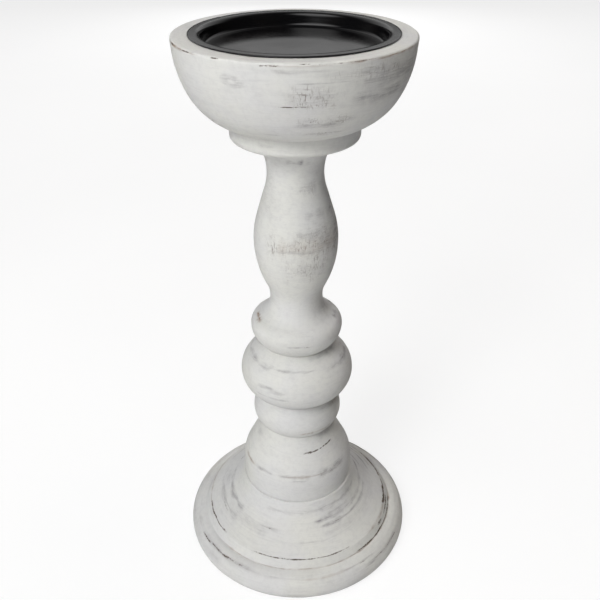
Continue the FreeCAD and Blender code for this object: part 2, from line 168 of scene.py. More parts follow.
def fine_outline(points, closed):
    """The same outline at a fine even step, with its arcs made round again.

    Returns the points, their distances along, and each true corner's distance and bend.
    """
    if closed:
        points = np.vstack([points, points[:1]])
    chords = np.diff(points, axis=0)
    lengths = np.hypot(*chords.T)
    keep = np.r_[True, lengths > SAME_POINT]
    points = points[keep]
    chords = np.diff(points, axis=0)
    lengths = np.hypot(*chords.T)
    ways = chords / lengths[:, None]
    count = len(ways)
    headings = np.arctan2(ways[:, 1], ways[:, 0])
    before = np.full((count, 2), np.nan)
    after = np.full((count, 2), np.nan)
    corners = []
    along = np.r_[0.0, np.cumsum(lengths)]
    for i in range(count if closed else count - 1):
        j = (i + 1) % count
        bend = math.degrees((headings[j] - headings[i] + math.pi) % TAU - math.pi)
        if abs(bend) > CORNER_BEND:
            corners.append((along[i + 1] if j else 0.0, bend))
            continue
        if lengths[i] > CHORD_JUMP * lengths[j]:
            way = ways[i]
        elif lengths[j] > CHORD_JUMP * lengths[i]:
            way = ways[j]
        else:
            way = ways[i] * lengths[j] + ways[j] * lengths[i]
        way = way / np.hypot(*way)
        after[i] = way
        before[j] = way
    pieces = []
    for i in range(count):
        first, last = before[i], after[i]
        if np.isnan(first[0]) and np.isnan(last[0]):
            first = last = ways[i]
        elif np.isnan(first[0]):
            first = 2 * ways[i] * (ways[i] @ last) - last
        elif np.isnan(last[0]):
            last = 2 * ways[i] * (ways[i] @ first) - first
        t = np.linspace(0, 1, max(int(lengths[i] / FINE_STEP), 1) + 1)[:-1, None]
        pieces.append(
            (2 * t ** 3 - 3 * t ** 2 + 1) * points[i]
            + (t ** 3 - 2 * t ** 2 + t) * lengths[i] * first
            + (3 * t ** 2 - 2 * t ** 3) * points[i + 1]
            + (t ** 3 - t ** 2) * lengths[i] * last
        )
    pieces.append(points[-1:])
    dense = np.vstack(pieces)
    run = np.r_[0.0, np.cumsum(np.hypot(*np.diff(dense, axis=0).T))]
    total = run[-1]
    even = np.linspace(0, total, int(total / FINE_STEP) + 1)
    line = np.stack([np.interp(even, run, dense[:, k]) for k in (0, 1)], 1)
    stretch = total / along[-1]
    return line, even, [(place * stretch, bend) for place, bend in corners]


def soften(line, closed, spread):
    """Rounds an outline's corners as sandpaper and paint do."""
    reach = int(3 * spread / FINE_STEP)
    weights = np.exp(-0.5 * (np.arange(-reach, reach + 1) * FINE_STEP / spread) ** 2)
    weights /= weights.sum()
    result = line.copy()
    for k in (0, 1):
        if closed:
            row = np.r_[line[-reach - 1:-1, k], line[:, k], line[1:reach + 1, k]]
        else:
            row = np.r_[
                2 * line[0, k] - line[reach:0:-1, k],
                line[:, k],
                2 * line[-1, k] - line[-2:-reach - 2:-1, k],
            ]
        result[:, k] = np.convolve(row, weights, "valid")
    return result


def pick_rows(even, corners, shown, step, tight):
    """Places the mesh's rows along an outline: close at shown corners, far apart inside."""
    gap = np.where(shown, step, HIDDEN_STEP)
    for place, _ in corners:
        near = np.abs(even - place)
        gap = np.where(shown, np.minimum(gap, tight + ROW_SPREAD * near), gap)
    for _ in range(3):
        gap = np.minimum(gap, np.r_[gap[1:], gap[-1]] * ROW_CHANGE)
        gap = np.minimum(gap, np.r_[gap[0], gap[:-1]] * ROW_CHANGE)
    tally = np.r_[0.0, np.cumsum(np.diff(even) / (0.5 * (gap[1:] + gap[:-1])))]
    rows = int(math.ceil(tally[-1]))
    return np.interp(np.linspace(0, tally[-1], rows + 1), tally, even)


# ---------------------------------------------------------------- random fields

def blend_curve(t):
    return t * t * (3 - 2 * t)


def field(rng, along, angle, cell, around):
    """Smooth random heights: cells of `cell` mm along and `around` cells round a ring.

    Their standard deviation is somewhat below 1.
    """
    grid = rng.standard_normal((int(along.max() / cell) + 3, around))
    a = along / cell
    i = a.astype(int)
    u = blend_curve(a - i)[:, None]
    b = (angle / TAU % 1.0) * around
    j = b.astype(int) % around
    k = (j + 1) % around
    v = blend_curve(b - np.floor(b))[None, :]
    low = grid[i][:, j] * (1 - v) + grid[i][:, k] * v
    high = grid[i + 1][:, j] * (1 - v) + grid[i + 1][:, k] * v
    return low * (1 - u) + high * u


def ramp(values, low, high):
    return blend_curve(np.clip((values - low) / (high - low), 0, 1))


# ---------------------------------------------------------------- turnings

class Turning:
    """A piece turned about the Z axis: rows of points on its outline, and what lies on them.

    step and tight are the rows' spacing on shown faces and at their corners, and spread is
    how far its outer edges are rounded, all in mm. shown says what of a radius and height
    can be seen.
    """

    def __init__(self, node, columns, step, tight, spread, shown, seed):
        self.node = node
        points, self.closed = half_section(node)
        line, even, self.corners = fine_outline(points, self.closed)
        if self.closed:
            line[-1] = line[0]
        visible = shown(line[:, 0], line[:, 1])
        self.along = pick_rows(even, self.corners, visible, step, tight)
        soft = self.rounded(line, spread)
        if not self.closed:
            soft[0, 0] = soft[-1, 0] = 0.0
        self.radius = np.interp(self.along, even, soft[:, 0])
        self.height = np.interp(self.along, even, soft[:, 1])
        ahead = np.gradient(soft, axis=0)
        ahead /= np.hypot(*ahead.T)[:, None]
        out_r = np.interp(self.along, even, ahead[:, 1])
        out_z = np.interp(self.along, even, -ahead[:, 0])
        size = np.hypot(out_r, out_z)
        self.out_r = out_r / size
        self.out_z = out_z / size
        self.shown = np.interp(self.along, even, visible.astype(float))[:, None]
        if self.closed:
            for name in ("along", "radius", "height", "out_r", "out_z"):
                setattr(self, name, getattr(self, name)[:-1])
            self.shown = self.shown[:-1]
        self.angle = np.arange(columns) * TAU / columns
        self.rng = np.random.default_rng(seed)
        shape = (len(self.along), columns)
        self.lift = np.zeros(shape)
        self.masks = {name: np.zeros(shape) for name in ("dark", "smear", "bare", "pores")}

    def rounded(self, line, spread):
        """Outer edges rounded by `spread`, inner corners only by the thin fill of paint."""
        soft = soften(line, self.closed, spread)
        tight = soften(line, self.closed, PAINT_FILL)
        ahead = np.gradient(tight, axis=0)
        outward = (soft - line)[:, 0] * ahead[:, 1] - (soft - line)[:, 1] * ahead[:, 0]
        return np.where((outward > 0)[:, None], tight, soft)

    def noise(self, cell, around):
        return field(self.rng, self.along, self.angle, cell, around)

    def place(self, radius, height):
        """Distance along the outline of the shown point nearest to a radius and height."""
        away = np.hypot(self.radius - radius, self.height - height)
        away = np.where(self.shown[:, 0] > 0.5, away, np.inf)
        return self.along[np.argmin(away)]

    def off_middle(self, start, end):
        """Degrees to each column from the middle of the arc from start to end degrees."""
        return (np.degrees(self.angle) - 0.5 * (start + end) + 180) % 360 - 180

    def swept(self, start, end):
        """How far each column lies outside the arc from start to end degrees, in degrees."""
        return np.maximum(np.abs(self.off_middle(start, end)) - 0.5 * abs(end - start), 0.0)

    def along_ring(self, spacing):
        """Random heights round the piece, one every `spacing` degrees, joined smoothly."""
        count = int(360 / spacing)
        knots = self.rng.standard_normal(count)
        place = np.degrees(self.angle) % 360 / 360 * count
        low = place.astype(int) % count
        t = blend_curve(place - np.floor(place))
        return knots[low] * (1 - t) + knots[(low + 1) % count] * t

    def mark(self, kind, start, end, radius, height, width, strength, depth, slant=0.0, fade=5.0):
        """A mark that runs round the piece from start to end degrees at a radius and height.

        width is half its width and depth how far it is sunk, in mm, slant how far it climbs
        over its length, and fade the angle over which its ends die away. Its line, width and
        strength all waver, a smear's more slowly than the other kinds'.
        """
        spot = self.place(radius, height)
        shift = slant * self.off_middle(start, end) / abs(end - start)
        shift = shift + 0.3 * min(width, 1.0) * self.along_ring(7)
        calm = 3 if kind == "smear" else 1
        swell = 1 + 0.3 * self.along_ring(3 * calm) + 0.2 * self.along_ring(11)
        thick = width * np.clip(swell, 0.45, 1.7)
        force = 0.9 + 0.25 * self.along_ring(2 * calm) + 0.2 * self.along_ring(6 * calm)
        force = np.clip(force, 0.25, 1.3)
        ends = np.exp(-(self.swept(start, end) / fade) ** 2)
        body = np.exp(-(((self.along[:, None] - spot) - shift[None, :]) / thick[None, :]) ** 2)
        stain = strength * body * (force * ends)[None, :]
        self.masks[kind] = np.maximum(self.masks[kind], stain)
        self.lift -= depth * body * ends[None, :]

    def knot(self, angle, radius, height, size, strength):
        """An oval swirl of grain round a light centre, leaning a little."""
        stretch, lean, waver = 2.1, 0.3, 0.12
        swirls = 9
        ring_at, ring_width = 0.95, 0.5
        spot = self.place(radius, height)
        around = (self.angle - math.radians(angle) + math.pi) % TAU - math.pi
        across = around[None, :] * radius / (stretch * size)
        up = (self.along[:, None] - spot) / size
        away = np.hypot(across, up + lean * across) + waver * self.noise(cell=2.5, around=60)
        swirl = 0.75 + 0.25 * np.cos(away * swirls)
        shade = np.exp(-((away - ring_at) / ring_width) ** 2) * swirl * strength
        self.masks["smear"] = np.maximum(self.masks["smear"], shade)

    def ring(self, radius, height, width, depth):
        """A shallow turned groove all round."""
        away = (self.along - self.place(radius, height)) / width
        self.lift -= (depth * np.exp(-away ** 2))[:, None]

    def edge_distance(self, pick):
        """Distance along the outline from the nearest convex corner that pick accepts."""
        away = np.full(len(self.along), np.inf)
        for place, bend in self.corners:
            r = np.interp(place, self.along, self.radius)
            z = np.interp(place, self.along, self.height)
            if bend > 0 and pick(r, z):
                away = np.minimum(away, np.abs(self.along - place))
        return away[:, None]

    def uneven(self, amount):
        """Slow waves left by hand sanding, and faint rings left by the turning tool."""
        waves = 0.6 * self.noise(cell=14, around=7) + 0.4 * self.noise(cell=6, around=16)
        rings = 0.5 * self.noise(cell=1.7, around=3) + 0.5 * self.noise(cell=0.9, around=4)
        self.lift += self.shown * amount * (waves - 0.6 + 0.2 * rings)

    def dents(self, count, size, depth):
        """Small knocks, wider round the piece than along it."""
        places = self.along[self.shown[:, 0] > 0.5]
        for _ in range(count):
            spot = self.rng.choice(places)
            turn = self.rng.uniform(0, TAU)
            scale = self.rng.uniform(0.5, 1.3)
            rows = np.abs(self.along - spot) < 4 * size * scale
            radius = np.interp(spot, self.along, self.radius)
            around = (self.angle - turn + math.pi) % TAU - math.pi
            across = around * radius / (size * scale * self.rng.uniform(1.2, 3.0))
            up = (self.along[rows] - spot) / (size * scale)
            self.lift[rows] -= depth * scale * np.exp(-up[:, None] ** 2 - across[None, :] ** 2)

    def wear_edge(self, away, reach, depth, amount, around, spare):
        """Rubs and nicks an edge here and there, but not from spare[0] to spare[1] degrees.

        away is each row's distance from the edge, reach how far the wear goes from it.
        """
        open_arc = ramp(self.swept(*spare), 0, 15)[None, :] * np.exp(-(away / reach) ** 2)
        patches = self.noise(cell=30, around=around)
        patches = patches + 0.5 * self.noise(cell=3, around=around * 3)
        rubbed = ramp(patches, 0.9 - amount, 1.5 - amount) * open_arc
        nicks = ramp(self.noise(cell=1.2, around=around * 7), 1.4, 2.2) * open_arc
        self.masks["bare"] = np.maximum(self.masks["bare"], rubbed)
        self.masks["dark"] = np.maximum(self.masks["dark"], nicks)
        self.lift -= depth * (0.3 * rubbed + nicks)

    def wear_behind(self, places):
        """The same kinds of wear on the side turned away, at random angles."""
        # kind, chance, strength, width, longest arc in degrees, depth
        kinds = (
            ("smear", 0.7, 0.8, 1.2, 36, 0.0),
            ("pores", 0.5, 1.0, 2.4, 30, 0.0),
            ("bare", 0.5, 0.9, 0.5, 24, 0.05),
            ("dark", 0.6, 0.9, 0.34, 12, 0.12),
        )
        for radius, height in places:
            for kind, chance, strength, width, reach, depth in kinds:
                start = self.rng.uniform(10, 150)
                end = start + self.rng.uniform(0.3, 1.0) * reach
                broad = width * self.rng.uniform(0.7, 1.5)
                if self.rng.random() < chance:
                    self.mark(kind, start, end, radius, height, broad, strength, depth, fade=4)

    def build(self, material, offset):
        """Makes the finished mesh, and puts it in its CAD node's place.

        Its brush streaks start `offset` mm on, so that two pieces don't show the same ones.
        """
        self.lift = np.minimum(self.lift, 0.0)
        rows, columns = self.lift.shape
        radius = self.radius[:, None] + self.lift * self.out_r[:, None]
        height = self.height[:, None] + self.lift * self.out_z[:, None]
        if not self.closed:
            radius[[0, -1]] = 0.0
            height[[0, -1]] = self.height[[0, -1], None]
        radius = np.maximum(radius, 0.0)
        points = np.stack([
            radius * np.cos(self.angle)[None, :],
            radius * np.sin(self.angle)[None, :],
            np.broadcast_to(height, radius.shape),
        ], 2).reshape(-1, 3) * MM
        values = {"along": np.broadcast_to(self.along[:, None] + offset, radius.shape)}
        values.update(self.masks)
        values = {name: np.ascontiguousarray(mask).reshape(-1) for name, mask in values.items()}
        index = np.arange(rows * columns).reshape(rows, columns)
        last = rows if self.closed else rows - 1
        a = index[:last]
        b = np.roll(index, -1, axis=1)[:last]
        c = np.roll(np.roll(index, -1, axis=1), -1, axis=0)[:last]
        d = np.roll(index, -1, axis=0)[:last]
        quads = np.stack([a, b, c, d], 2).reshape(-1, 4)
        if self.closed:
            faces = quads.tolist()
        else:
            pole_low = index[0, 0]
            pole_high = index[-1, 0]
            middle = quads[columns:-columns].tolist()
            low = np.stack([np.full(columns, pole_low), c[0], d[0]], 1).tolist()
            high = np.stack([a[-1], b[-1], np.full(columns, pole_high)], 1).tolist()
            faces = low + middle + high
        mesh = bpy.data.meshes.new(self.node + "_turned")
        mesh.from_pydata(points.tolist(), [], faces)
        for name, mask in values.items():
            mesh.attributes.new(name, "FLOAT", "POINT").data.foreach_set("value", mask)
        if not self.closed:
            shape = bmesh.new()
            shape.from_mesh(mesh)
            loose = [vert for vert in shape.verts if not vert.link_faces]
            bmesh.ops.delete(shape, geom=loose, context="VERTS")
            shape.to_mesh(mesh)
            shape.free()
        add_piece(self.node + "_detail", mesh, material, self.node)


def add_piece(name, mesh, material, node):
    """Puts a finished mesh in the scene in its CAD node's stead."""
    mesh.shade_smooth()
    mesh.materials.append(material)
    piece = bpy.data.objects.new(name, mesh)
    bpy.context.scene.collection.objects.link(piece)
    bodies = frame["record"]["behaviour"]["bodies"]
    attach(piece, next(body for body, members in bodies.items() if node in members))
    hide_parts(node)


# ---------------------------------------------------------------- node helpers

class Nodes:
    """Short calls that add and join a tree's nodes."""

    def __init__(self, tree):
        self.tree = tree

    def source(self, kind, output):
        return self.tree.nodes.new(kind).outputs[output]

    def put(self, socket, value):
        if isinstance(value, bpy.types.NodeSocket):
            self.tree.links.new(value, socket)
        else:
            socket.default_value = value

    def math(self, kind, a, b=0.0, c=0.0, clamp=False):
        node = self.tree.nodes.new("ShaderNodeMath")
        node.operation = kind
        node.use_clamp = clamp
        for socket, value in zip(node.inputs, (a, b, c)):
            self.put(socket, value)
        return node.outputs[0]

    def vector(self, kind, a, b=(0, 0, 0)):
        node = self.tree.nodes.new("ShaderNodeVectorMath")
        node.operation = kind
        self.put(node.inputs[0], a)
        self.put(node.inputs[1], b)
        return node.outputs["Value" if kind in ("DISTANCE", "DOT_PRODUCT") else "Vector"]

    def attribute(self, name):
        node = self.tree.nodes.new("ShaderNodeAttribute")
        node.attribute_name = name
        return node.outputs["Fac"]

    def noise(self, place, scale=1.0, detail=2.0, roughness=0.5, distortion=0.0):
        node = self.tree.nodes.new("ShaderNodeTexNoise")
        self.put(node.inputs["Vector"], place)
        node.inputs["Scale"].default_value = scale
        node.inputs["Detail"].default_value = detail
        node.inputs["Roughness"].default_value = roughness
        node.inputs["Distortion"].default_value = distortion
        return node.outputs["Fac"]

    def step(self, value, low, high, start=0.0, end=1.0):
        """Goes smoothly from start to end as the value goes from low to high."""
        node = self.tree.nodes.new("ShaderNodeMapRange")
        node.interpolation_type = "SMOOTHSTEP"
        self.put(node.inputs["Value"], value)
        node.inputs["From Min"].default_value = low
        node.inputs["From Max"].default_value = high
        node.inputs["To Min"].default_value = start
        node.inputs["To Max"].default_value = end
        return node.outputs[0]

    def mix(self, factor, a, b):
        node = self.tree.nodes.new("ShaderNodeMix")
        node.data_type = "RGBA"
        self.put(node.inputs["Factor"], factor)
        for name, value in (("A", a), ("B", b)):
            socket = next(s for s in node.inputs if s.name == name and s.type == "RGBA")
            self.put(socket, value if isinstance(value, bpy.types.NodeSocket) else (*value, 1.0))
        return next(s for s in node.outputs if s.type == "RGBA")

    def bump(self, height, distance, strength=1.0):
        node = self.tree.nodes.new("ShaderNodeBump")
        node.inputs["Strength"].default_value = strength
        node.inputs["Distance"].default_value = distance
        self.put(node.inputs["Height"], height)
        return node.outputs[0]


class Surface(Nodes):
    """A new material's nodes, with its shader and its place on the object."""

    def __init__(self, name):
        self.material = bpy.data.materials.new(name)
        self.material.use_nodes = True
        super().__init__(self.material.node_tree)
        self.tree.nodes.clear()
        output = self.tree.nodes.new("ShaderNodeOutputMaterial")
        self.shader = self.tree.nodes.new("ShaderNodeBsdfPrincipled")
        self.tree.links.new(self.shader.outputs[0], output.inputs[0])
        self.object = self.source("ShaderNodeTexCoord", "Object")

    def ring_place(self, around, along):
        """A place that runs round the piece without a seam, for noise in long streaks.

        It goes round a circle of `around` cells in radius, and up `along` cells for each mm.
        """
        flat = self.vector("MULTIPLY", self.object, (1, 1, 0))
        circle = self.vector("MULTIPLY", self.vector("NORMALIZE", flat), (around, around, 0))
        upward = self.tree.nodes.new("ShaderNodeCombineXYZ")
        self.put(upward.inputs["Z"], self.math("MULTIPLY", self.attribute("along"), along))
        return self.vector("ADD", circle, upward.outputs[0])

    def finish(self, colour, roughness, normal, **fixed):
        self.put(self.shader.inputs["Base Color"], colour)
        self.put(self.shader.inputs["Roughness"], roughness)
        self.put(self.shader.inputs["Normal"], normal)
        for name, value in fixed.items():
            self.shader.inputs[name].default_value = value
        return self.material


# ---------------------------------------------------------------- materials

def whitewash():
    """Thin chalky white over brown wood, dragged on while the piece turned."""
    n = Surface("whitewash")
    cloud = n.noise(n.object, scale=26, detail=3, roughness=0.55)
    mottle = n.noise(n.object, scale=380, detail=4, roughness=0.68)
    brush = n.noise(n.ring_place(2.4, 0.45), detail=4, roughness=0.62, distortion=0.9)
    fine = n.noise(n.ring_place(7.0, 1.9), detail=3, roughness=0.6, distortion=0.5)
    chalk = n.mix(n.step(cloud, 0.35, 0.65), CHALK_COOL, CHALK_WARM)
    chalk = n.mix(n.step(mottle, 0.42, 0.72, 0.0, 0.20), chalk, GREY_MOTTLE)
    chalk = n.mix(n.step(brush, 0.45, 0.78, 0.0, 0.20), chalk, GREY_BRUSH)
    chalk = n.mix(n.step(fine, 0.50, 0.76, 0.0, 0.16), chalk, GREY_FINE)

    # scratches: short upright ones crossed by level ones, broken up here and there
    cells_per_metre = (1700, 1700, 300)
    squeezed = n.vector("MULTIPLY", n.object, cells_per_metre)
    upright = n.noise(squeezed, detail=2, roughness=0.6, distortion=0.4)
    level = n.noise(n.ring_place(8.0, 2.0), detail=3, roughness=0.65, distortion=0.6)
    breaks = n.noise(n.object, scale=330, detail=3, roughness=0.6)
    scratch = n.math("MAXIMUM", n.step(upright, 0.50, 0.66), n.step(level, 0.54, 0.66))
    scratch = n.math("MULTIPLY", scratch, n.step(breaks, 0.34, 0.58, 0.15, 1.0))

    # grey where the wash is thin, where it is marked and in faint wide patches; some marks are
    # painted shade in creases instead
    wide = n.noise(n.object, scale=15, detail=3, roughness=0.55, distortion=0.6)
    patch = n.math("MULTIPLY", n.step(wide, 0.54, 0.72), 0.38)
    smear = n.math("MAXIMUM", n.attribute("smear"), patch)
    streak = n.noise(n.ring_place(3.2, 0.8), detail=5, roughness=0.7, distortion=1.0)
    streak = n.step(streak, 0.34, 0.66, 0.25, 1.0)
    veil = n.math("MULTIPLY", streak, n.step(mottle, 0.30, 0.62, 0.75, 1.05))
    smear = n.math("MULTIPLY", smear, n.math("MULTIPLY_ADD", scratch, 0.16, veil))
    colour = n.mix(n.math("MULTIPLY", smear, 0.78, clamp=True), chalk, GREY_SMEAR_AND_SHADE)

    pores = n.math("MULTIPLY", scratch, n.attribute("pores"))
    colour = n.mix(n.math("MULTIPLY", pores, 0.7, clamp=True), colour, WOOD_PORE)

    grain = n.noise(n.ring_place(6.0, 2.0), detail=4, roughness=0.7)
    bare = n.math("MULTIPLY", n.attribute("bare"), n.step(grain, 0.34, 0.62, 0.35, 1.0))
    colour = n.mix(n.math("MULTIPLY", bare, 0.8, clamp=True), colour, WOOD_BARE)

    speck = n.noise(n.object, scale=900, detail=3, roughness=0.7)
    dark = n.math("MULTIPLY", n.attribute("dark"), n.step(speck, 0.32, 0.62, 0.45, 1.25))
    dark = n.step(dark, 0.16, 0.80)
    colour = n.mix(dark, colour, n.mix(cloud, CHIP_DEEP, CHIP_BROWN))

    relief = n.math("MULTIPLY", mottle, 0.45)
    for layer, weight in ((brush, 0.25), (fine, 0.3), (pores, -0.4), (dark, -0.5)):
        relief = n.math("MULTIPLY_ADD", layer, weight, relief)
    normal = n.bump(relief, 0.12 * MM)
    rough = n.step(fine, 0.3, 0.7, 0.58, 0.74)
    return n.finish(colour, rough, normal, **{"Specular IOR Level": 0.3})


def black_enamel():
    """Satin black paint on pressed steel, with a fine skin texture and a little dust."""
    n = Surface("black_enamel")
    peel = n.noise(n.object, scale=900, detail=2, roughness=0.5)
    cloud = n.noise(n.object, scale=45, detail=3, roughness=0.6)
    dust = n.step(n.noise(n.object, scale=1500, detail=1, roughness=0.5), 0.74, 0.80)
    dust = n.math("MULTIPLY", dust, n.step(cloud, 0.5, 0.7))
    film = n.mix(n.step(cloud, 0.35, 0.7), ENAMEL_DEEP, ENAMEL_HAZE)
    colour = n.mix(n.math("MULTIPLY", dust, 0.5), film, DUST)
    rough = n.step(cloud, 0.3, 0.7, 0.13, 0.18)
    normal = n.bump(peel, 0.03 * MM, strength=0.4)
    return n.finish(colour, rough, normal)


def zinc():
    """Dull zinc plate with faint clouding."""
    n = Surface("zinc_plate")
    cloud = n.noise(n.object, scale=400, detail=4, roughness=0.6)
    colour = n.mix(n.step(cloud, 0.3, 0.7), ZINC_BLUE, ZINC_PALE)
    rough = n.step(cloud, 0.3, 0.7, 0.3, 0.5)
    normal = n.bump(n.noise(n.object, scale=1600), 0.02 * MM)
    return n.finish(colour, rough, normal, Metallic=1.0)


def felt():
    """Pressed wool fibres, dark brown-grey."""
    n = Surface("felt")
    fibre = n.noise(n.object, scale=2600, detail=3, roughness=0.7, distortion=1.5)
    clump = n.noise(n.object, scale=500, detail=3, roughness=0.6)
    colour = n.mix(n.step(fibre, 0.35, 0.68), FELT_DARK, FELT_PALE)
    colour = n.mix(n.step(clump, 0.4, 0.7, 0.0, 0.3), colour, FELT_CLUMP)
    normal = n.bump(fibre, 0.25 * MM)
    return n.finish(colour, 0.95, normal, **{"Sheen Weight": 0.25})


# ---------------------------------------------------------------- pieces

# Marks are listed as kind, start and end in degrees, radius and height in mm, half width in
# mm, strength, and depth in mm, and some also have a slant and a fade. -90 degrees is the
# front, 0 the right and 90 the back. Kinds: "smear" is thin grey wash, and also painted shade
# where its list says so, "pores" fine scratches, "bare" rubbed brown wood, and "dark" a chip
# or a filled crease.

def make_base(material):
    # not shown: the socket and the bore, and the underside inside its rim
    base = Turning(
        "base", columns=360, step=0.46, tight=0.22, spread=0.34, seed=11,
        shown=lambda r, z: (r > 13) & ((z > 1.6) | (r > 62)),
    )
    base.ring(47.0, 25.4, width=0.45, depth=0.10)
    base.ring(41.3, 29.8, width=0.55, depth=0.14)
    base.ring(36.9, 34.3, width=0.45, depth=0.10)
    base.ring(62.4, 14.4, width=0.55, depth=0.10)
    base.uneven(amount=0.07)
    base.dents(count=60, size=0.7, depth=0.16)
    edge = base.edge_distance(lambda r, z: 53 < r < 56 and z > 19)
    base.wear_edge(edge, reach=0.5, depth=0.25, amount=0.1, around=22, spare=(-170, 45))
    marks = [
        # the step's edge
        ("dark", -112, -60, 54.2, 20.75, 0.33, 0.9, 0.12, 0, 7),
        ("dark", -8, 34, 54.0, 20.9, 0.75, 1.35, 0.20),
        ("dark", -26, -6, 55.4, 19.2, 0.85, 1.2, 0.10),
        ("bare", -34, 40, 54.3, 20.7, 0.7, 0.8, 0.0),
        ("bare", 150, 196, 54.3, 20.7, 0.4, 0.7, 0.0),
        ("dark", -166, -146, 54.3, 20.7, 0.45, 1.0, 0.12),
        # the quirk under it
        ("bare", -58, 6, 57.3, 16.2, 0.5, 1.0, 0.0),
        ("dark", -48, -4, 57.0, 16.6, 0.45, 1.0, 0.0),
        ("bare", -135, -66, 57.3, 16.2, 0.32, 0.8, 0.0),
        ("dark", -116, -100, 57.3, 16.1, 0.22, 0.5, 0.0),
        # the roll's top
        ("dark", -152, -147, 63.1, 13.9, 0.45, 0.9, 0.15, 0, 2),
        ("dark", -143, -133, 62.6, 14.3, 0.36, 0.85, 0.15, 0, 3),
        ("dark", -130, -123, 61.9, 14.7, 0.35, 0.75, 0.10, 0, 3),
        ("smear", -162, -118, 62.4, 14.4, 0.9, 0.75, 0.0),
        ("smear", -112, -92, 62.6, 14.3, 0.5, 0.6, 0.0),
        ("dark", -43, -26, 64.8, 12.2, 0.30, 0.65, 0.10),
        ("smear", -50, -18, 64.8, 12.2, 0.9, 0.8, 0.0),
        ("dark", -53, -51, 62.8, 14.2, 0.4, 0.65, 0.10, 0, 2),
        ("smear", -60, -48, 62.7, 14.2, 0.7, 0.7, 0.0),
        ("bare", -82, -66, 62.8, 14.2, 0.5, 0.5, 0.0),
        # the cove's rings
        ("smear", -182, -146, 46.4, 26.0, 1.1, 1.2, 0.0),
        ("smear", 168, 190, 47.2, 25.3, 0.8, 0.6, 0.0),
        ("smear", -184, -148, 41.0, 30.1, 1.0, 1.1, 0.0),
        ("smear", 170, 188, 40.5, 30.5, 0.9, 0.9, 0.0),
        ("dark", -162, -155, 46.9, 25.5, 0.35, 0.5, 0.0),
        ("smear", -119, -109, 41.8, 29.5, 0.7, 1.1, 0.0, 0, 3),
        ("dark", -117, -112, 41.8, 29.5, 0.35, 0.6, 0.05, 0, 2),
        ("smear", -66, -8, 40.8, 30.3, 1.3, 1.0, 0.0),
        ("dark", -58, -42, 41.0, 30.1, 0.35, 0.45, 0.0),
        ("smear", -70, 20, 38.2, 32.8, 1.2, 1.05, 0.0),
        ("smear", -78, -20, 34.6, 38.2, 1.3, 0.75, 0.0),
        ("smear", -116, -86, 34.8, 37.7, 0.9, 0.4, 0.0),
        ("smear", -190, -118, 43.6, 28.1, 3.0, 0.32, 0.0),
        ("smear", -66, 24, 44.2, 27.6, 2.4, 0.20, 0.0),
        ("smear", -196, -136, 65.4, 10.8, 2.2, 0.4, 0.0),
        ("smear", -30, 24, 64.6, 12.2, 0.6, 0.25, 0.0),
        ("bare", -34, 30, 64.2, 12.8, 1.6, 0.12, 0.0),
        ("smear", -58, -30, 37.2, 34.0, 1.7, 0.8, 0.0),
        ("smear", -84, -62, 46.6, 25.8, 0.5, 0.6, 0.0),
        ("smear", 60, 110, 44.0, 27.6, 1.6, 0.6, 0.0),
        ("smear", 118, 150, 40.0, 31.0, 1.0, 0.7, 0.0),
    ]
    for mark in marks:
        base.mark(*mark)
    base.wear_behind([
        (65.0, 12.0), (62.6, 14.3), (57.3, 16.2), (54.3, 20.7),
        (50.5, 23.0), (47.0, 25.4), (41.3, 29.8), (36.9, 34.3),
    ])
    base.build(material, offset=0.0)


